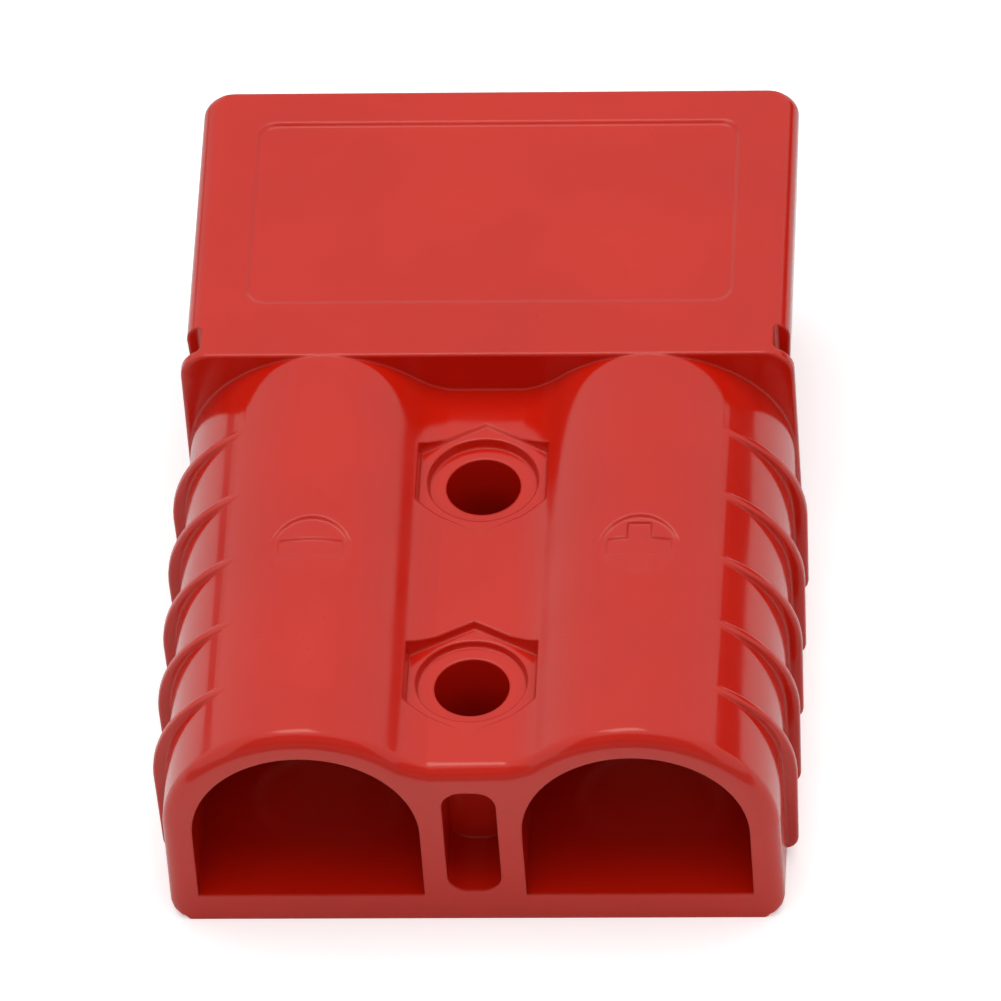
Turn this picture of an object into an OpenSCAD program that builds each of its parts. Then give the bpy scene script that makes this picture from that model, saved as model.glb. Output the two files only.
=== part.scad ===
// Genderless two-pole power connector: one moulded housing that holds two
// silver-plated contacts on leaf springs. X runs across the pair, +Y from the
// wire entries to the mating end, +Z up; the flat base lies on Z = 0 and the
// origin is at its middle. Lengths along the body are given from the wire face.

/* [Housing] */
// Overall length, from the wire face to the lip of the hood
housing_len = 80; // [78:0.5:82]
// Width across the plain sides of the body
body_w = 55.6; // [55.2:0.1:55.8]
// Length of the hood, from its shoulder to its lip
hood_len = 33.4; // [32.5:0.1:34.5]
// Rounding around the wire face
face_round = 1.1; // [0.6:0.1:1.4]
// Rounding along the bottom edges of the body
foot_round = 1.7; // [1.6:0.1:2.2]

/* [Wire barrels] */
// Distance between the axes of the two barrels
barrel_pitch = 29.7; // [29.4:0.1:30]
// Height of the barrel axes above the base
barrel_z = 11.55; // [11.35:0.1:11.85]
// Wall of a barrel around its arched wire entry
barrel_wall = 2.7; // [2.5:0.05:3.2]
// Floor under the wire entries
floor_t = 3.2; // [2.8:0.1:3.6]
// Depth of the wire entries
entry_depth = 40; // [39:0.5:41]
// Level of the valley between the barrels
valley_z = 19.8; // [19.4:0.1:20.2]
// Concave rounding between the valley and each barrel
valley_round = 3.5; // [3:0.1:3.8]

/* [Bolt holes] */
// Diameter of the two through holes for M6 bolts
bolt_d = 6.8; // [6.4:0.1:7]
// Distance between the bolt holes
bolt_pitch = 24.2; // [23.8:0.1:24.6]
// Distance from the wire face to the first bolt hole
bolt_first = 11.4; // [11.2:0.1:11.8]
// Width across the flats of the hexagonal seats
hex_af = 11.9; // [11.6:0.1:12.2]
// Diameter of the round step inside each seat
step_d = 10.2; // [9.8:0.1:10.6]
// Level of the hexagonal seat nearer the wire face
hex_rear_z = 19.1; // [18.8:0.1:19.3]
// Level of the hexagonal seat nearer the shoulder
hex_front_z = 19.6; // [19.2:0.1:19.7]
// Level of the round step nearer the wire face
step_rear_z = 18.5; // [18:0.1:18.7]
// Level of the round step nearer the shoulder
step_front_z = 18.7; // [18.2:0.1:18.9]

/* [Slot in the wire face] */
// Width of the slot between the wire entries
slot_w = 4.9; // [4.5:0.1:5.1]
// Bottom of the slot
slot_z0 = 3.75; // [3.4:0.05:4.2]
// Top of the slot
slot_z1 = 17.1; // [16.6:0.1:17.4]
// Rounding of the slot's corners
slot_round = 1.9; // [1.5:0.1:2.1]
// Depth of the slot
slot_depth = 6.4; // [6:0.1:6.8]

/* [Grip ribs] */
// Ribs along each side
rib_count = 5; // [4:1:5]
// Distance from one rib to the next
rib_pitch = 7.8; // [7.4:0.1:7.9]
// Wire face to the first rib
rib_first = 7.5; // [7:0.1:7.8]
// Thickness of a rib
rib_t = 1; // [0.9:0.1:1.4]
// How far a rib stands out from the side
rib_proud = 1.3; // [1:0.05:1.5]
// How far a rib laps in over the barrel from the side
rib_lap = 6; // [5.6:0.1:6.4]
// How much a rib leans in towards the base
rib_draft = 0.25; // [0.1:0.05:0.4]
// Height of a rib's lower end
rib_foot = 0.7; // [0.6:0.1:1.2]
// Rounding of a rib's edges
rib_edge = 0.3; // [0.2:0.05:0.4]

/* [Hood] */
// Width across the rim of the shoulder
collar_w = 56.2; // [56.1:0.1:56.6]
// Thickness of the rim, in front of the side grooves
collar_t = 0.9; // [0.8:0.1:1.2]
// Radius of the rim's top corners
collar_corner = 2.8; // [2.4:0.1:3]
// Rounding of the rim's near edge
rim_round = 0.25; // [0.2:0.05:0.3]
// Width across the hood behind the side grooves
hood_w = 55.3; // [55:0.1:55.8]
// How much each side of the hood leans in, from its top to the base
hood_draft = 1.2; // [0.8:0.1:1.4]
// How far the hood's top stands above the crowns of the barrels
hood_rise = 0.05; // [0.05:0.05:0.2]
// Thickness of the hood's top
hood_top_t = 2.6; // [2.4:0.1:3]
// Thickness of the hood's side walls at the top
hood_side_t = 2.7; // [2.5:0.1:2.9]
// Corner radius of the hood in plan
hood_corner = 1.7; // [1.4:0.1:2.2]
// Rounding along the hood's side edges
hood_edge = 1.7; // [1.4:0.1:2]
// Rounding of the top edge of the hood's lip
lip_round = 0.3; // [0.2:0.05:0.4]
// Depth from the shoulder to the stop face of the mating end
stop_depth = 4; // [3.8:0.1:4.6]
// Width of the bare label panel
panel_w = 44.8; // [43:0.1:46]
// Length of the bare label panel
panel_l = 22.9; // [21:0.1:24]
// Shoulder to the label panel
panel_y = 6.6; // [6:0.1:7]
// Corner radius of the label panel
panel_corner = 1.8; // [1.4:0.1:2.4]
// Depth of the label panel
panel_depth = 0.14; // [0.1:0.02:0.2]
// Width of the slope around the label panel
panel_slope = 0.25; // [0.2:0.05:0.5]
// Length of the groove behind each end of the rim
groove_l = 2.8; // [2.4:0.1:3.2]
// Depth of the side grooves, from the rim's outer edge
groove_depth = 1.9; // [1.6:0.1:2.2]
// Rounding of the grooves' inner corners
groove_round = 0.5; // [0.4:0.1:0.8]

/* [Polarity marks] */
// Diameter of the round sink of each mark
mark_d = 7.4; // [7:0.1:8]
// Distance from the wire face to the marks
mark_y = 23.3; // [22.8:0.1:23.8]
// Length of the bars of the marks
mark_bar = 6; // [5.5:0.1:6.4]
// Width of the bars of the marks
mark_bar_w = 2.3; // [2:0.1:2.6]
// Depth of the round sinks
mark_sink = 0.2; // [0.15:0.05:0.3]
// Depth of the bars, measured as the sinks are
mark_bar_sink = 0.4; // [0.35:0.05:0.6]

/* [Mating end] */
// Thickness of the two tongues that carry the springs
tongue_t = 3.3; // [3:0.1:3.4]
// Width of the rails along the edges of a tongue
tongue_rail = 2; // [1.6:0.1:2.4]
// Lip of the hood to the tips of the tongues
tongue_setback = 6; // [5.6:0.1:6.4]
// Thickness of the partition between the two contacts
partition_t = 3.2; // [2.8:0.1:3.6]
// Lip of the hood to the edge of the partition
partition_setback = 3; // [2.5:0.1:4]

/* [Contacts and springs] */
// Outer diameter of the crimp barrel
crimp_d = 13.6; // [13.2:0.1:14]
// Bore of the crimp barrel
crimp_bore = 11.4; // [11:0.1:11.6]
// Distance from the wire face to the crimp barrel
crimp_y = 18; // [17.5:0.5:19]
// Length of the crimp barrel
crimp_len = 19; // [18:0.5:19.5]
// Width of the contact's flat blade
blade_w = 14; // [13:0.1:14.5]
// Thickness of the contact's flat blade
blade_t = 2.8; // [2.6:0.1:3]
// Width of the leaf spring
spring_w = 11; // [10:0.1:12]
// Thickness of the leaf spring
spring_t = 0.8; // [0.7:0.05:0.9]
// Length over which the crimp barrel runs down to the blade
contact_taper = 6; // [5.5:0.5:7]
// Clearance around the blade in its window, and between two mated halves
fit_gap = 0.2; // [0.15:0.05:0.3]

/* [Hidden] */
$fn = 64;
eps = 0.01;
barrel_x = barrel_pitch / 2;
barrel_r = body_w / 2 - barrel_x;             // outer radius of a barrel
entry_r = barrel_r - barrel_wall;             // radius of the arched entry
crown_z = barrel_z + barrel_r;                // top of the barrels
hood_z = crown_z + hood_rise;                 // top of the hood
shoulder_y = housing_len - hood_len;
stop_y = shoulder_y + stop_depth;
mate_z = hood_z / 2;                          // plane in which two halves meet
valley_cx = barrel_x - sqrt(pow(barrel_r + valley_round, 2)
            - pow(valley_z + valley_round - barrel_z, 2));
valley_a = atan2(valley_z + valley_round - barrel_z, valley_cx - barrel_x);
bolt_y = [bolt_first, bolt_first + bolt_pitch];
hex_z = [hex_rear_z, hex_front_z];
step_z = [step_rear_z, step_front_z];
slot_x = slot_w / 2 - slot_round;
rib_x = body_w / 2 + rib_proud;               // outer plane of the ribs
rib_tip_x = body_w / 2 - rib_lap;
rib_tip = [rib_tip_x, barrel_z + sqrt(pow(barrel_r, 2) - pow(rib_tip_x - barrel_x, 2))];
rib_top_z = barrel_z - 0.6;                   // where a rib starts to curve over
rib_r = (pow(rib_x - rib_tip[0], 2) + pow(rib_tip[1] - rib_top_z, 2))
      / (2 * (rib_x - rib_tip[0]));
rib_corner = rib_proud;
groove_x = collar_w / 2 - groove_depth;       // inner wall of the side grooves
base_lead = 0.3;                              // skins run below the base, and are cut
blade_z1 = mate_z - fit_gap / 2;              // contact face, just short of the plane
blade_z0 = blade_z1 - blade_t;
tongue_z0 = hood_top_t + fit_gap;
tongue_z1 = tongue_z0 + tongue_t;
tongue_w = blade_w + 2 * fit_gap + 2 * tongue_rail;
tongue_end = housing_len - tongue_setback;
window_w = blade_w + 2 * fit_gap;
crimp_z = floor_t + crimp_d / 2 + 1;
tip_r = 1;                                    // inner bend radius of the blade's tip
spring_y = [stop_y - 4, tongue_end - 3];      // ends of the leaf on the tongue
spring_gap = 0.05;                            // leaf just short of the blade
spring_rise = blade_z0 - tongue_z1 - spring_t - spring_gap;
spring_r = (pow((spring_y[1] - spring_y[0]) / 2, 2) + pow(spring_rise, 2))
         / (2 * spring_rise);

// Points of an arc about (x, z), from angle a0 to a1 in n steps
function arc(x, z, r, a0, a1, n) =
    [for (i = [0:n]) let (a = a0 + (a1 - a0) * i / n) [x + r * cos(a), z + r * sin(a)]];

function mirrored(half) = [for (i = [len(half) - 1:-1:0]) [-half[i][0], half[i][1]]];

// Right half of the body's cross-section, pulled in by d all round except at the
// base: foot, barrel, valley
function half_section(d) = concat(
    [[body_w / 2 - foot_round, -base_lead]],
    arc(body_w / 2 - foot_round, foot_round - d, foot_round - d, -67.5, 0, 3),
    arc(barrel_x, barrel_z, barrel_r - d, 0, valley_a, 42),
    arc(valley_cx, valley_z + valley_round, valley_round + d, valley_a - 180, -90, 8));

function section(y, d) = let (half = half_section(d))
    [for (p = concat(half, mirrored(half))) [p[0], y, p[1]]];

// Section of the rim or the hood, of half-width w and corner radius r, pulled in
// by d; top is its level and lean is how much its sides come in towards the base
function hood_section(y, w, r, d, top, lean) = let (half = concat(
    [[w - lean - foot_round, -2 * base_lead]],
    arc(w - lean - foot_round, foot_round - d, foot_round - d, -67.5, 0, 3),
    arc(w - r, top - r, r - d, 0, 90, 8)))
    [for (p = concat(half, mirrored(half))) [p[0], y, p[1]]];

// How far a quarter-round of radius r, which ends at y_end, has come in at y
function come_in(y, y_end, r) = let (t = max(0, y - y_end + r)) r - sqrt(r * r - t * t);

// Solid skinned over a list of closed sections that have the same number of points
module skin(sections) {
    n = len(sections[0]);
    last = len(sections) - 1;
    polyhedron(
        points = [for (s = sections) for (p = s) p],
        faces = concat(
            [[for (i = [n - 1:-1:0]) i]],
            [for (k = [0:last - 1]) for (i = [0:n - 1]) let (j = (i + 1) % n)
                for (f = [[k * n + i, (k + 1) * n + j, (k + 1) * n + i],
                          [k * n + i, k * n + j, (k + 1) * n + j]]) f],
            [[for (i = [0:n - 1]) last * n + i]]));
}

// Stations of a quarter-round edge: [distance from the face, pull-in]
function edge_stations(r, n) =
    [for (i = [0:n]) let (a = 90 * i / n) [r * (1 - cos(a)), r * (1 - sin(a))]];

// The body starts a little short of the wire face, so that the face is cut flat
module body_shell() {
    steps = 6;
    edge = edge_stations(face_round, steps);
    lead = 0.3;
    skin(concat(
        [section(-lead * edge[1][0], face_round + lead * (face_round - edge[1][1]))],
        [for (i = [1:steps]) section(edge[i][0], edge[i][1])],
        [section(shoulder_y, 0)],
        [section(shoulder_y + 1, 0.4)]));
}

// One grip rib on the right side: a plate that curves over the barrel's shoulder
module rib() {
    tip_a = acos((rib_tip[0] - 0.8 - rib_x + rib_r) / rib_r);
    function outline(d) = concat(
        [[rib_x - rib_proud - 1, rib_foot + d]],
        arc(rib_x - rib_draft - rib_corner, rib_foot + rib_corner, rib_corner - d, -90, 0, 4),
        arc(rib_x - rib_r, rib_top_z, rib_r - d, 0, tip_a, 14),
        [[rib_tip[0] - 1, rib_tip[1] - 2.5], [rib_x - rib_proud - 1, rib_top_z]]);
    rise = edge_stations(rib_edge, 2);
    stations = concat(rise, [for (i = [2:-1:0]) [rib_t - rise[i][0], rise[i][1]]]);
    skin([for (s = stations) [for (p = outline(s[1])) [p[0], s[0], p[1]]]]);
}

// Rim and hood in one skin, from the shoulder to the lip; the side grooves are cut
// where the one runs into the other
module hood_shell() {
    rim = edge_stations(rim_round, 3);
    collar_y = shoulder_y + collar_t;
    lip = [for (a = [0, 15, 30, 45, 60, 72, 81, 90])
        housing_len - hood_corner * (1 - sin(a))];
    skin(concat(
        [for (s = rim) hood_section(shoulder_y + s[0], collar_w / 2, collar_corner, s[1],
            hood_z, 0)],
        [hood_section(collar_y, collar_w / 2, collar_corner, 0, hood_z, 0)],
        [for (y = concat([collar_y + groove_l], lip))
            hood_section(y, hood_w / 2 - come_in(y, housing_len, hood_corner), hood_edge, 0,
                hood_z - come_in(y, housing_len, lip_round), hood_draft)]));
}

// Wire entry, from the wire face inwards: an arch on straight walls and a flat floor
module wire_entry() {
    translate([barrel_x, entry_depth, barrel_z]) rotate([90, 0, 0])
        linear_extrude(entry_depth + 1) {
            intersection() {
                circle(entry_r);
                translate([-entry_r, 0]) square([2 * entry_r, entry_r]);
            }
            translate([-entry_r, floor_t - barrel_z])
                square([2 * entry_r, barrel_z - floor_t]);
        }
}

// Window that the blade and the end of its spring pass through
module blade_window() {
    translate([barrel_x - window_w / 2, entry_depth - 1, tongue_z1])
        cube([window_w, stop_y - entry_depth + 2, blade_z1 + fit_gap - tongue_z1]);
}

// Wire face and base, both cut flat
module flat_cuts() {
    translate([-hood_w, -5, -1]) cube([2 * hood_w, 5, crown_z + 2]);
    translate([-hood_w, -6, -2]) cube([2 * hood_w, housing_len + 12, 2]);
}

module face_slot() {
    translate([0, slot_depth, 0]) rotate([90, 0, 0]) linear_extrude(slot_depth + 1) {
        for (x = [-slot_x, slot_x], z = [slot_z0 + slot_round, slot_z1 - slot_round])
            translate([x, z]) circle(slot_round);
        translate([-slot_x, slot_z0]) square([2 * slot_x, slot_z1 - slot_z0]);
        translate([-slot_w / 2, slot_z0 + slot_round])
            square([slot_w, slot_z1 - slot_z0 - 2 * slot_round]);
    }
}

// Through hole with its round step and hexagonal seat, points towards the ends
module bolt_hole(i) {
    translate([0, bolt_y[i], 0]) {
        translate([0, 0, -1]) cylinder(d = bolt_d, h = crown_z + 2);
        translate([0, 0, step_z[i]]) cylinder(d = step_d, h = crown_z);
        translate([0, 0, hex_z[i]]) rotate(30)
            cylinder(r = hex_af / sqrt(3), h = crown_z, $fn = 6);
    }
}

// Room under the hood: a clear lower half, and the cavity for the other half's tongues
module mating_room() {
    far = housing_len - stop_y + 1;
    translate([-hood_w, stop_y, -1]) cube([2 * hood_w, far, mate_z + 1 + fit_gap / 2]);
    difference() {
        translate([hood_side_t - hood_w / 2, stop_y, mate_z])
            cube([hood_w - 2 * hood_side_t, far, hood_z - hood_top_t - mate_z]);
        translate([-partition_t / 2, stop_y - 1, mate_z - 1])
            cube([partition_t, housing_len - partition_setback - stop_y + 1, crown_z]);
    }
}

// Tongue that carries a spring and a blade between two low rails
module tongue() {
    difference() {
        translate([barrel_x - tongue_w / 2, stop_y - 1, tongue_z0])
            cube([tongue_w, tongue_end - stop_y + 1, blade_z0 + 1 - tongue_z0]);
        translate([barrel_x - window_w / 2, stop_y - 2, tongue_z1])
            cube([window_w, housing_len, crown_z]);
    }
}

// Groove up each side, behind the end of the rim, with rounded inner corners
module side_groove() {
    translate([0, shoulder_y + collar_t, -1]) linear_extrude(hood_z + 2) {
        for (y = [groove_round, groove_l - groove_round])
            translate([groove_x + groove_round, y]) circle(groove_round);
        translate([groove_x, groove_round])
            square([groove_depth + 1, groove_l - 2 * groove_round]);
        translate([groove_x + groove_round, 0]) square([groove_depth + 1, groove_l]);
    }
}

// Bare label panel: a shallow sink with sloping edges
module label_panel() {
    function outline(z, inset) = [for (k = [0:3])
        let (a = 90 * k - 90, r = panel_corner - inset,
            x = (a == -90 || a == 0 ? 1 : -1) * (panel_w / 2 - panel_corner),
            y = (a == -90 || a == 180 ? -1 : 1) * (panel_l / 2 - panel_corner))
        for (i = [0:8]) [x + r * cos(a + 11.25 * i), z, y + r * sin(a + 11.25 * i)]];
    translate([0, shoulder_y + panel_y + panel_l / 2, hood_z]) rotate([-90, 0, 0])
        skin([outline(-1, 0), outline(0, 0), outline(panel_depth, panel_slope)]);
}

// Round sink with a bar, both following the barrel; the positive mark has a second
// bar across it
module polarity_mark(plus) {
    module below(depth) {
        translate([0, mark_d, barrel_z]) rotate([90, 0, 0])
            cylinder(r = barrel_r - depth, h = 2 * mark_d, $fn = 180);
    }
    translate([0, mark_y, 0]) {
        difference() {
            translate([0, 0, crown_z - 2]) cylinder(d = mark_d, h = 3);
            below(mark_sink);
        }
        difference() {
            for (turn = plus ? [0, 90] : [0]) rotate(turn)
                translate([-mark_bar / 2, -mark_bar_w / 2, crown_z - 2])
                    cube([mark_bar, mark_bar_w, 3]);
            below(mark_bar_sink);
        }
    }
}

// The wire face lies half a housing behind the origin
module centred() {
    translate([0, -housing_len / 2, 0]) children();
}

module housing() {
    color("firebrick") centred() difference() {
        union() {
            difference() {
                union() {
                    body_shell();
                    hood_shell();
                }
                mating_room();
            }
            for (side = [0, 1]) mirror([side, 0, 0]) {
                tongue();
                for (i = [0:rib_count - 1])
                    translate([0, rib_first + i * rib_pitch, 0]) rib();
            }
        }
        for (side = [0, 1]) mirror([side, 0, 0]) {
            wire_entry();
            blade_window();
            side_groove();
        }
        flat_cuts();
        for (i = [0, 1]) bolt_hole(i);
        face_slot();
        label_panel();
        translate([-barrel_x, 0, 0]) polarity_mark(false);
        translate([barrel_x, 0, 0]) polarity_mark(true);
    }
}

// Crimp barrel that runs down into a flat blade, whose tip hooks over the tongue
module contact() {
    crimp_end = crimp_y + crimp_len;
    bend_y = tongue_end + fit_gap - tip_r;
    difference() {
        intersection() {
            translate([0, crimp_end + 2, crimp_z]) rotate([90, 0, 0])
                cylinder(d = crimp_d, h = crimp_len + 2);
            rotate([90, 0, 90]) linear_extrude(crimp_d, center = true) polygon([
                [crimp_y, crimp_z - crimp_d], [crimp_end - contact_taper, crimp_z - crimp_d],
                [crimp_end - contact_taper, crimp_z - crimp_d / 2], [crimp_end, blade_z0],
                [crimp_end + 2, blade_z0], [crimp_end + 2, blade_z1], [crimp_end, blade_z1],
                [crimp_end - contact_taper, crimp_z + crimp_d / 2],
                [crimp_end - contact_taper, crimp_z + crimp_d], [crimp_y, crimp_z + crimp_d]]);
        }
        translate([0, crimp_end - contact_taper - 1, crimp_z]) rotate([90, 0, 0])
            cylinder(d = crimp_bore, h = crimp_len);
    }
    rotate([90, 0, 90]) linear_extrude(blade_w, center = true) {
        translate([crimp_end, blade_z0]) square([bend_y - crimp_end, blade_t]);
        translate([bend_y, blade_z0 - tip_r]) intersection() {
            difference() {
                circle(tip_r + blade_t);
                circle(tip_r);
            }
            square(tip_r + blade_t);
        }
        translate([bend_y + tip_r, tongue_z1 - 1])
            square([blade_t, blade_z0 - tip_r - tongue_z1 + 1 + eps]);
    }
}

// Leaf spring: a bowed strip that rests on the tongue and pushes the blade up
module leaf_spring() {
    mid = (spring_y[0] + spring_y[1]) / 2;
    rotate([90, 0, 90]) linear_extrude(spring_w, center = true) intersection() {
        translate([mid, tongue_z1 + spring_rise - spring_r]) difference() {
            circle(spring_r + spring_t, $fn = 256);
            circle(spring_r, $fn = 256);
        }
        translate([spring_y[0], tongue_z1 + eps])
            square([spring_y[1] - spring_y[0], spring_rise + spring_t]);
    }
}

module contact_left() { color("silver") centred() translate([-barrel_x, 0, 0]) contact(); }
module contact_right() { color("silver") centred() translate([barrel_x, 0, 0]) contact(); }
module spring_left() { color("lightgray") centred() translate([-barrel_x, 0, 0]) leaf_spring(); }
module spring_right() { color("lightgray") centred() translate([barrel_x, 0, 0]) leaf_spring(); }

housing();
contact_left();
contact_right();
spring_left();
spring_right();
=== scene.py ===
import math

import bpy
from mathutils import Matrix, Vector


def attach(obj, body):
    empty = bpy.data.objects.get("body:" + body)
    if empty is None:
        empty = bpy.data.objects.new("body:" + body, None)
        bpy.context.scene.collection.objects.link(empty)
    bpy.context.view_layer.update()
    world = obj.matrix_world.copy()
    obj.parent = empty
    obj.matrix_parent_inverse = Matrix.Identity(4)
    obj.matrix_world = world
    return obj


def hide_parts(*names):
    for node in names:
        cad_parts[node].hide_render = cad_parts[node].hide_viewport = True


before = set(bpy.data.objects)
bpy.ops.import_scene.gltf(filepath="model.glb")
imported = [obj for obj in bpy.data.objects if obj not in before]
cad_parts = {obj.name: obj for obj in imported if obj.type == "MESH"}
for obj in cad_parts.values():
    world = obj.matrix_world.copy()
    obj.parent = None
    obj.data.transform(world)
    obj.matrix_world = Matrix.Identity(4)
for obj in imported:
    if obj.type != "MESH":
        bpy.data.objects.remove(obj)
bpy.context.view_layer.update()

# Camera: a long lens, raised above the wire end and turned a little to one side, so
# that the tops of both barrels, the wire entries and the whole hood are in view.
view_right = Vector((0.99755, 0.04315, -0.05500))
view_up = Vector((0.00506, 0.74008, 0.67250))
view_back = view_right.cross(view_up)
camera_place = (0.094040, -0.895702, 0.997069)
camera_data = bpy.data.cameras.new("camera")
camera_data.lens = 524.4
camera_data.sensor_width = 36
camera_data.clip_end = 10
camera = bpy.data.objects.new("camera", camera_data)
bpy.context.scene.collection.objects.link(camera)
camera.matrix_world = Matrix((
    (view_right.x, view_up.x, view_back.x, camera_place[0]),
    (view_right.y, view_up.y, view_back.y, camera_place[1]),
    (view_right.z, view_up.z, view_back.z, camera_place[2]),
    (0, 0, 0, 1),
))
bpy.context.scene.camera = camera


# Studio floor: a white sheet that the connector lies on. To the camera and in
# reflections it is plain white, and it keeps the connector's soft shadow.
def white_sheet():
    sheet = bpy.data.materials.new("white_sheet")
    sheet.use_nodes = True
    nodes = sheet.node_tree.nodes
    links = sheet.node_tree.links
    nodes.clear()
    paper = nodes.new("ShaderNodeBsdfDiffuse")
    paper.inputs["Color"].default_value = (0.9, 0.9, 0.9, 1)
    glow = nodes.new("ShaderNodeEmission")
    glow.inputs["Color"].default_value = (1, 1, 1, 1)
    rays = nodes.new("ShaderNodeLightPath")
    lift = nodes.new("ShaderNodeMath")
    lift.operation = "MULTIPLY"
    lift.inputs[1].default_value = 0.36
    links.new(rays.outputs["Is Camera Ray"], lift.inputs[0])
    links.new(lift.outputs[0], glow.inputs["Strength"])
    both = nodes.new("ShaderNodeAddShader")
    links.new(paper.outputs[0], both.inputs[0])
    links.new(glow.outputs[0], both.inputs[1])
    output = nodes.new("ShaderNodeOutputMaterial")
    links.new(both.outputs[0], output.inputs["Surface"])
    return sheet


bpy.ops.object.select_all(action="DESELECT")
bpy.ops.mesh.primitive_plane_add(size=8, location=(0, 0, 0))
floor = bpy.context.object
floor.name = "floor"
floor.data.materials.append(white_sheet())


# Studio light: one broad soft box overhead, a low one in front of the wire end, and
# a white room around them.
def soft_box(name, place, target, size_x, size_y, power):
    data = bpy.data.lights.new(name, "AREA")
    data.shape = "RECTANGLE"
    data.size = size_x
    data.size_y = size_y
    data.energy = power
    lamp = bpy.data.objects.new(name, data)
    bpy.context.scene.collection.objects.link(lamp)
    lamp.location = place
    aim = Vector(target) - Vector(place)
    lamp.rotation_mode = "QUATERNION"
    lamp.rotation_quaternion = aim.to_track_quat("-Z", "Y")
    lamp.visible_camera = False
    lamp.visible_glossy = False
    return lamp


soft_box("top_box", (0, 0.1, 0.9), (0, 0, 0), 1.3, 1.0, 9.4)
soft_box("front_box", (0, -0.8, 0.62), (0, 0, 0.01), 1.0, 0.3, 1.4)

room = bpy.data.worlds.new("room")
bpy.context.scene.world = room
room.use_nodes = True
room_nodes = room.node_tree.nodes
room_links = room.node_tree.links
room_light = room_nodes["Background"]
room_light.inputs["Color"].default_value = (1, 1, 1, 1)
room_light.inputs["Strength"].default_value = 0.27
room_seen = room_nodes.new("ShaderNodeBackground")
room_seen.inputs["Color"].default_value = (1, 1, 1, 1)
room_seen.inputs["Strength"].default_value = 1
room_rays = room_nodes.new("ShaderNodeLightPath")
seen_or_mirrored = room_nodes.new("ShaderNodeMath")
seen_or_mirrored.operation = "MAXIMUM"
room_links.new(room_rays.outputs["Is Camera Ray"], seen_or_mirrored.inputs[0])
room_links.new(room_rays.outputs["Is Glossy Ray"], seen_or_mirrored.inputs[1])
room_choice = room_nodes.new("ShaderNodeMixShader")
room_links.new(seen_or_mirrored.outputs[0], room_choice.inputs["Fac"])
room_links.new(room_light.outputs[0], room_choice.inputs[1])
room_links.new(room_seen.outputs[0], room_choice.inputs[2])
room_links.new(room_choice.outputs[0], room_nodes["World Output"].inputs["Surface"])


# Reflection cards: dark boards round the camera, beside the connector and on the
# table, and one bright one overhead. They show in reflections only.
def reflection_card(name, place, target, size_x, size_y, tone):
    bpy.ops.object.select_all(action="DESELECT")
    aim = Vector(target) - Vector(place)
    bpy.ops.mesh.primitive_plane_add(size=1)
    card = bpy.context.object
    card.name = name
    card.scale = (size_x, size_y, 1)
    card.location = place
    card.rotation_mode = "QUATERNION"
    card.rotation_quaternion = aim.to_track_quat("-Z", "Y")
    card.visible_camera = False
    card.visible_diffuse = False
    card.visible_shadow = False
    card.visible_transmission = False
    board = bpy.data.materials.new(name)
    board.use_nodes = True
    board.node_tree.nodes.clear()
    face = board.node_tree.nodes.new("ShaderNodeEmission")
    face.inputs["Color"].default_value = (1, 1, 1, 1)
    face.inputs["Strength"].default_value = tone
    output = board.node_tree.nodes.new("ShaderNodeOutputMaterial")
    board.node_tree.links.new(face.outputs[0], output.inputs["Surface"])
    card.data.materials.append(board)
    return card


reflection_card("camera_card", (0.05, -1.2, 0.9), (0, 0, 0.01), 2.6, 2.05, 0.3)
reflection_card("right_card", (0.75, 0.7, 0.17), (0, 0, 0.17), 0.5, 0.34, 0.1)
reflection_card("left_card", (-0.75, 0.68, 0.06), (0, 0, 0.06), 0.4, 0.12, 0.3)
reflection_card("table_card", (0, -0.7, 0.0006), (0, -0.7, -1), 1.6, 1.25, 0.35)
reflection_card("overhead_card", (-0.12, 0.3, 1.0), (0, 0, 0.01), 0.5, 0.5, 3.5)


# Housing: one injection moulding in glossy red polycarbonate, with two arched wire
# barrels, the grip ribs on its sides and the wide hood that laps over its mate.
def noise_texture(nodes, links, coords, scale, detail):
    noise = nodes.new("ShaderNodeTexNoise")
    noise.inputs["Scale"].default_value = scale
    noise.inputs["Detail"].default_value = detail
    links.new(coords.outputs["Object"], noise.inputs["Vector"])
    return noise


def value_range(nodes, links, source, low, high, new_low, new_high):
    spread = nodes.new("ShaderNodeMapRange")
    spread.inputs["From Min"].default_value = low
    spread.inputs["From Max"].default_value = high
    spread.inputs["To Min"].default_value = new_low
    spread.inputs["To Max"].default_value = new_high
    links.new(source, spread.inputs["Value"])
    return spread


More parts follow.
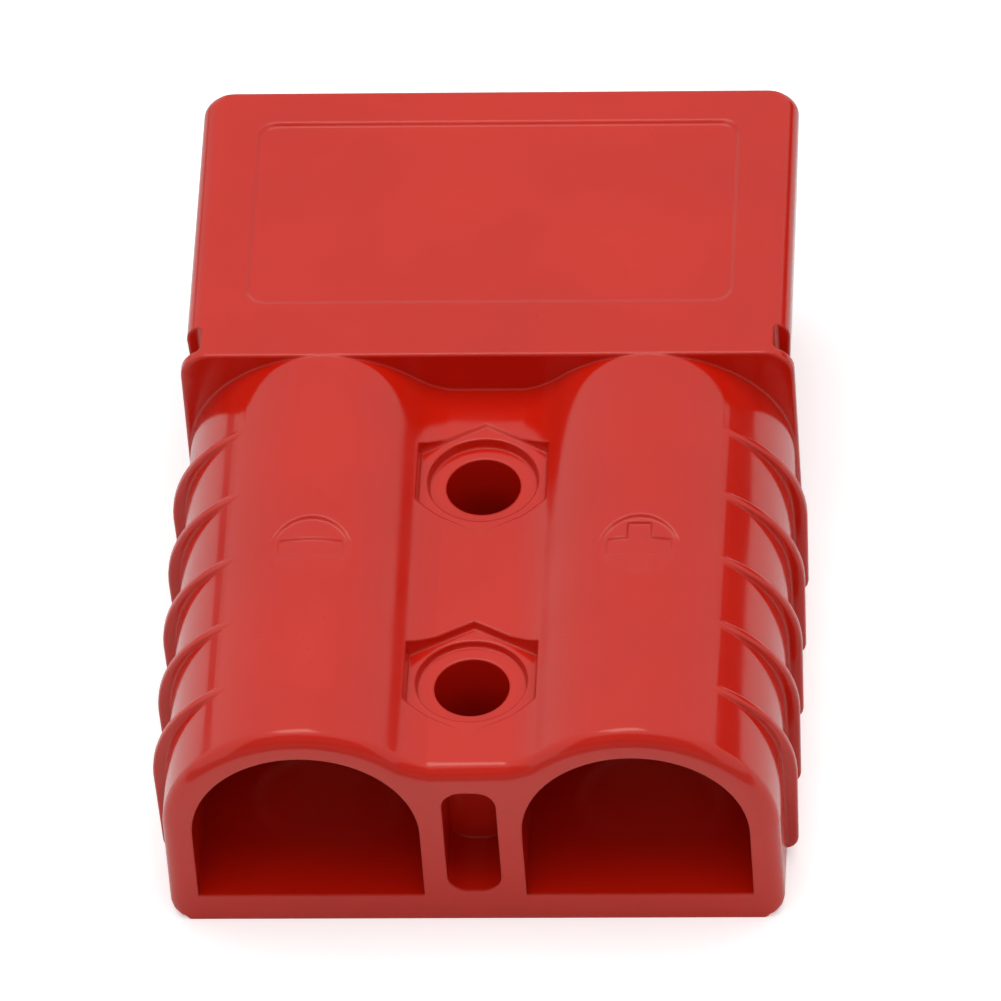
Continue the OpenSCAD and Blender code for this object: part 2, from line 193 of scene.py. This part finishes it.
def red_moulding():
    plastic = bpy.data.materials.new("red_moulding")
    plastic.use_nodes = True
    nodes = plastic.node_tree.nodes
    links = plastic.node_tree.links
    skin = nodes["Principled BSDF"]
    skin.inputs["IOR"].default_value = 1.5
    skin.inputs["Specular Tint"].default_value = (1, 1, 0.9, 1)
    coords = nodes.new("ShaderNodeTexCoord")
    # pigment, slightly cloudy, with a few dark specks in it
    cloud = noise_texture(nodes, links, coords, 60, 4)
    pigment = nodes.new("ShaderNodeValToRGB")
    pigment.color_ramp.elements[0].position = 0.3
    pigment.color_ramp.elements[0].color = (0.50, 0.0080, 0.0018, 1)
    pigment.color_ramp.elements[1].position = 0.7
    pigment.color_ramp.elements[1].color = (0.555, 0.0105, 0.0028, 1)
    links.new(cloud.outputs["Fac"], pigment.inputs["Fac"])
    specks = noise_texture(nodes, links, coords, 3000, 1)
    speck_mask = value_range(nodes, links, specks.outputs["Fac"], 0.76, 0.80, 0, 0.5)
    tint = nodes.new("ShaderNodeMix")
    tint.data_type = "RGBA"
    links.new(speck_mask.outputs[0], tint.inputs["Factor"])
    links.new(pigment.outputs["Color"], tint.inputs["A"])
    tint.inputs["B"].default_value = (0.25, 0.002, 0.0015, 1)
    links.new(tint.outputs["Result"], skin.inputs["Base Color"])
    # polish of the mould, duller in patches from handling
    handling = noise_texture(nodes, links, coords, 180, 5)
    polish = value_range(nodes, links, handling.outputs["Fac"], 0.3, 0.7, 0.10, 0.17)
    links.new(polish.outputs[0], skin.inputs["Roughness"])
    # edges broken by the mould's own rounding
    broken_edge = nodes.new("ShaderNodeBevel")
    broken_edge.samples = 6
    broken_edge.inputs["Radius"].default_value = 0.00035
    # very slight waviness from shrinkage, and a fine grain over it
    wave = noise_texture(nodes, links, coords, 220, 2)
    grain = noise_texture(nodes, links, coords, 2600, 2)
    wave_bump = nodes.new("ShaderNodeBump")
    wave_bump.inputs["Strength"].default_value = 0.25
    wave_bump.inputs["Distance"].default_value = 0.00006
    links.new(wave.outputs["Fac"], wave_bump.inputs["Height"])
    links.new(broken_edge.outputs["Normal"], wave_bump.inputs["Normal"])
    grain_bump = nodes.new("ShaderNodeBump")
    grain_bump.inputs["Strength"].default_value = 0.25
    grain_bump.inputs["Distance"].default_value = 0.00001
    links.new(grain.outputs["Fac"], grain_bump.inputs["Height"])
    links.new(wave_bump.outputs["Normal"], grain_bump.inputs["Normal"])
    links.new(grain_bump.outputs["Normal"], skin.inputs["Normal"])
    return plastic


def merged_copy(node_name, name):
    bpy.ops.object.select_all(action="DESELECT")
    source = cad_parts[node_name]
    piece = bpy.data.objects.new(name, source.data.copy())
    bpy.context.scene.collection.objects.link(piece)
    piece.matrix_world = source.matrix_world.copy()
    piece.select_set(True)
    bpy.context.view_layer.objects.active = piece
    bpy.ops.object.transform_apply(location=True, rotation=True, scale=True)
    bpy.ops.object.mode_set(mode="EDIT")
    bpy.ops.mesh.select_all(action="SELECT")
    bpy.ops.mesh.remove_doubles(threshold=1e-6)
    bpy.ops.object.mode_set(mode="OBJECT")
    bpy.ops.mesh.customdata_custom_splitnormals_clear()
    piece.data.materials.clear()
    return piece


def smooth_curves(piece, sharpest):
    bpy.context.view_layer.objects.active = piece
    bpy.ops.object.shade_smooth_by_angle(angle=math.radians(sharpest))
    even = piece.modifiers.new("even_normals", "WEIGHTED_NORMAL")
    even.keep_sharp = True
    even.weight = 80
    bpy.ops.object.modifier_apply(modifier=even.name)
    piece.select_set(False)


# where the left and right barrels lie, and the flat face that the wires go in by
barrel_x, barrel_z, barrel_r = 0.01485, 0.01155, 0.01295
wire_face, moulded_round = -0.04, 0.0011
close = 0.00002


# the valley between the barrels runs out into their flanks in a wide soft sweep
def widen_valley(piece):
    valley_z, tight, wide, shoulder, hair = 0.0198, 0.0035, 0.0072, 0.0066, 0.00003

    def sweep(x, sweep_r):
        rise = valley_z + sweep_r - barrel_z
        middle = barrel_x - math.sqrt((barrel_r + sweep_r) ** 2 - rise ** 2)
        joint = middle + sweep_r * (barrel_x - middle) / (barrel_r + sweep_r)
        if x <= middle:
            return valley_z
        if x <= joint:
            return valley_z + sweep_r - math.sqrt(sweep_r ** 2 - (x - middle) ** 2)
        return barrel_z + math.sqrt(barrel_r ** 2 - (x - barrel_x) ** 2)

    for point in piece.data.vertices:
        across = abs(point.co.x)
        if across > barrel_x or point.co.y > shoulder + close:
            continue
        below = sweep(across, tight) - point.co.z
        allowed = moulded_round if point.co.y < wire_face + moulded_round else hair
        if -hair < below < allowed:
            point.co.z += sweep(across, wide) - sweep(across, tight)


# the outer edge of the wire face is rounded over broadly, right round the section
def round_wire_face(piece):
    along, down = 0.0013, 0.0015
    side_x, outside_r, slot_x, slot_top = 0.026, 0.0112, 0.004, 0.0175
    piece.data.update()
    moves = []
    for point in piece.data.vertices:
        into = point.co.y - wire_face
        across, height = abs(point.co.x), point.co.z
        if into > moulded_round + close:
            continue
        if height < barrel_z:
            outer = across > side_x
        else:
            from_barrel = math.hypot(across - barrel_x, height - barrel_z)
            by_slot = across < slot_x and height < slot_top
            outer = from_barrel > outside_r and not by_slot
        if not outer:
            continue
        sine = min(max((moulded_round - into) / moulded_round, 0), 1)
        inset = (down - moulded_round) * (1 - math.sqrt(1 - sine * sine))
        outward = Vector((point.normal.x, 0, point.normal.z))
        if height < close:
            outward = Vector((point.co.x, 0, 0))
        moves.append((point, outward.normalized() * inset, wire_face + along * (1 - sine)))
    for point, inset, place_y in moves:
        point.co -= inset
        point.co.y = place_y


# the label panel lies a little deeper, and its edge slopes down to it gently
def ease_panel(piece):
    middle_y, half_x, half_y, panel_z = 0.02465, 0.02215, 0.0112, 0.02441
    slope, deeper, beyond = 0.0001, 0.0001, 0.0001
    for point in piece.data.vertices:
        away_x, away_y = abs(point.co.x), abs(point.co.y - middle_y)
        inside = away_x < half_x + beyond and away_y < half_y + beyond
        if inside and abs(point.co.z - panel_z) < close:
            point.co.x *= 1 - slope / half_x
            point.co.y += (middle_y - point.co.y) * slope / half_y
            point.co.z -= deeper


# the round marks run out towards the wire face, and their walls lean outwards
def lean_marks(piece):
    crown_z, mark_y, mark_r, sink = 0.022, -0.0167, 0.0037, 0.0002
    bar_x, bar_y, bar_sink = 0.003, 0.00115, 0.0004
    rim_lean, bar_lean, beyond = 0.00025, 0.00014, 0.0001
    depth_near, depth_gain = 0.08, 1.3

    def drawn_in(away):
        for edge in (bar_x, bar_y):
            if abs(abs(away) - edge) < close:
                return away * (1 - bar_lean / edge)
        return away

    for point in piece.data.vertices:
        away_x = abs(point.co.x) - barrel_x
        away_y = point.co.y - mark_y
        from_mark = math.hypot(away_x, away_y)
        if from_mark > mark_r + beyond or point.co.z < crown_z:
            continue
        depth = barrel_r - math.hypot(away_x, point.co.z - barrel_z)
        at_sink = abs(depth - sink) < 2 * close
        at_bar = abs(depth - bar_sink) < 2 * close
        if not at_sink and not at_bar:
            continue
        if at_sink and from_mark > mark_r - 2 * close:
            away_x *= 1 - rim_lean / mark_r
            away_y *= 1 - rim_lean / mark_r
        if at_bar:
            away_x, away_y = drawn_in(away_x), drawn_in(away_y)
        depth *= depth_near + depth_gain * (away_y + mark_r) / (2 * mark_r)
        point.co.x = math.copysign(barrel_x + away_x, point.co.x)
        point.co.y = mark_y + away_y
        point.co.z = barrel_z + math.sqrt((barrel_r - depth) ** 2 - away_x ** 2)


# so do the hexagonal seats; the round steps in them stay level
def lean_seats(piece):
    step_r, hex_r, flush_z, beyond = 0.0051, 0.00687, 0.01977, 0.0001
    hex_lean, step_lean, run_gain = 0.00025, 0.0002, 1.15
    rear_seat = (-0.0286, 0.0191, 0.0185)
    front_seat = (-0.0044, 0.0196, 0.0187)
    for bolt_y, hex_z, step_z in (rear_seat, front_seat):
        for point in piece.data.vertices:
            away_y = point.co.y - bolt_y
            from_bolt = math.hypot(point.co.x, away_y)
            if from_bolt > hex_r + 2 * beyond:
                continue
            lean = 1
            if abs(point.co.z - hex_z) < close:
                run = (away_y + hex_r) / (2 * hex_r)
                point.co.z = flush_z + (hex_z - flush_z) * min(run * run_gain, 1)
                if from_bolt > step_r + beyond:
                    lean = 1 - hex_lean / hex_r
            elif abs(point.co.z - step_z) < close and from_bolt > step_r - beyond:
                lean = 1 - step_lean / step_r
            point.co.x *= lean
            point.co.y = bolt_y + away_y * lean


red = red_moulding()
moulding = merged_copy("housing", "moulding")
widen_valley(moulding)
round_wire_face(moulding)
ease_panel(moulding)
lean_marks(moulding)
lean_seats(moulding)
smooth_curves(moulding, 28)
moulding.data.materials.append(red)
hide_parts("housing")
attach(moulding, "root")


# Contacts: copper bars, rolled into a crimp barrel at the wire end and hooked over
# the tongue at the mating end, then plated with satin silver.
def silver_plate():
    plate = bpy.data.materials.new("silver_plate")
    plate.use_nodes = True
    nodes = plate.node_tree.nodes
    links = plate.node_tree.links
    skin = nodes["Principled BSDF"]
    skin.inputs["Metallic"].default_value = 1
    coords = nodes.new("ShaderNodeTexCoord")
    tarnish = noise_texture(nodes, links, coords, 90, 4)
    tone = nodes.new("ShaderNodeValToRGB")
    tone.color_ramp.elements[0].position = 0.3
    tone.color_ramp.elements[0].color = (0.70, 0.68, 0.63, 1)
    tone.color_ramp.elements[1].position = 0.65
    tone.color_ramp.elements[1].color = (0.84, 0.83, 0.80, 1)
    links.new(tarnish.outputs["Fac"], tone.inputs["Fac"])
    links.new(tone.outputs["Color"], skin.inputs["Base Color"])
    grain = noise_texture(nodes, links, coords, 700, 3)
    satin = value_range(nodes, links, grain.outputs["Fac"], 0.3, 0.7, 0.26, 0.4)
    links.new(satin.outputs[0], skin.inputs["Roughness"])
    bump = nodes.new("ShaderNodeBump")
    bump.inputs["Strength"].default_value = 0.3
    bump.inputs["Distance"].default_value = 0.00002
    links.new(grain.outputs["Fac"], bump.inputs["Height"])
    links.new(bump.outputs["Normal"], skin.inputs["Normal"])
    return plate


silver = silver_plate()
for side in ("left", "right"):
    contact = merged_copy("contact_" + side, "silver_contact_" + side)
    smooth_curves(contact, 28)
    contact.data.materials.append(silver)
    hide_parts("contact_" + side)
    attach(contact, "root")


# Leaf springs: strips of stainless spring steel, rolled along their length, bowed
# and laid on the tongues under the contacts.
def rolled_steel():
    steel = bpy.data.materials.new("rolled_steel")
    steel.use_nodes = True
    nodes = steel.node_tree.nodes
    links = steel.node_tree.links
    skin = nodes["Principled BSDF"]
    skin.inputs["Metallic"].default_value = 1
    coords = nodes.new("ShaderNodeTexCoord")
    rolled = nodes.new("ShaderNodeMapping")
    rolled.inputs["Scale"].default_value = (1, 0.04, 1)
    links.new(coords.outputs["Object"], rolled.inputs["Vector"])
    lines = nodes.new("ShaderNodeTexNoise")
    lines.inputs["Scale"].default_value = 2500
    lines.inputs["Detail"].default_value = 3
    links.new(rolled.outputs["Vector"], lines.inputs["Vector"])
    tone = nodes.new("ShaderNodeValToRGB")
    tone.color_ramp.elements[0].position = 0.3
    tone.color_ramp.elements[0].color = (0.46, 0.46, 0.47, 1)
    tone.color_ramp.elements[1].position = 0.7
    tone.color_ramp.elements[1].color = (0.62, 0.62, 0.63, 1)
    links.new(lines.outputs["Fac"], tone.inputs["Fac"])
    links.new(tone.outputs["Color"], skin.inputs["Base Color"])
    brushed = value_range(nodes, links, lines.outputs["Fac"], 0.3, 0.7, 0.24, 0.36)
    links.new(brushed.outputs[0], skin.inputs["Roughness"])
    bump = nodes.new("ShaderNodeBump")
    bump.inputs["Strength"].default_value = 0.3
    bump.inputs["Distance"].default_value = 0.00002
    links.new(lines.outputs["Fac"], bump.inputs["Height"])
    links.new(bump.outputs["Normal"], skin.inputs["Normal"])
    return steel


steel = rolled_steel()
for side in ("left", "right"):
    spring = merged_copy("spring_" + side, "leaf_spring_" + side)
    smooth_curves(spring, 28)
    spring.data.materials.append(steel)
    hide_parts("spring_" + side)
    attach(spring, "root")

bpy.context.scene.view_settings.view_transform = "Standard"
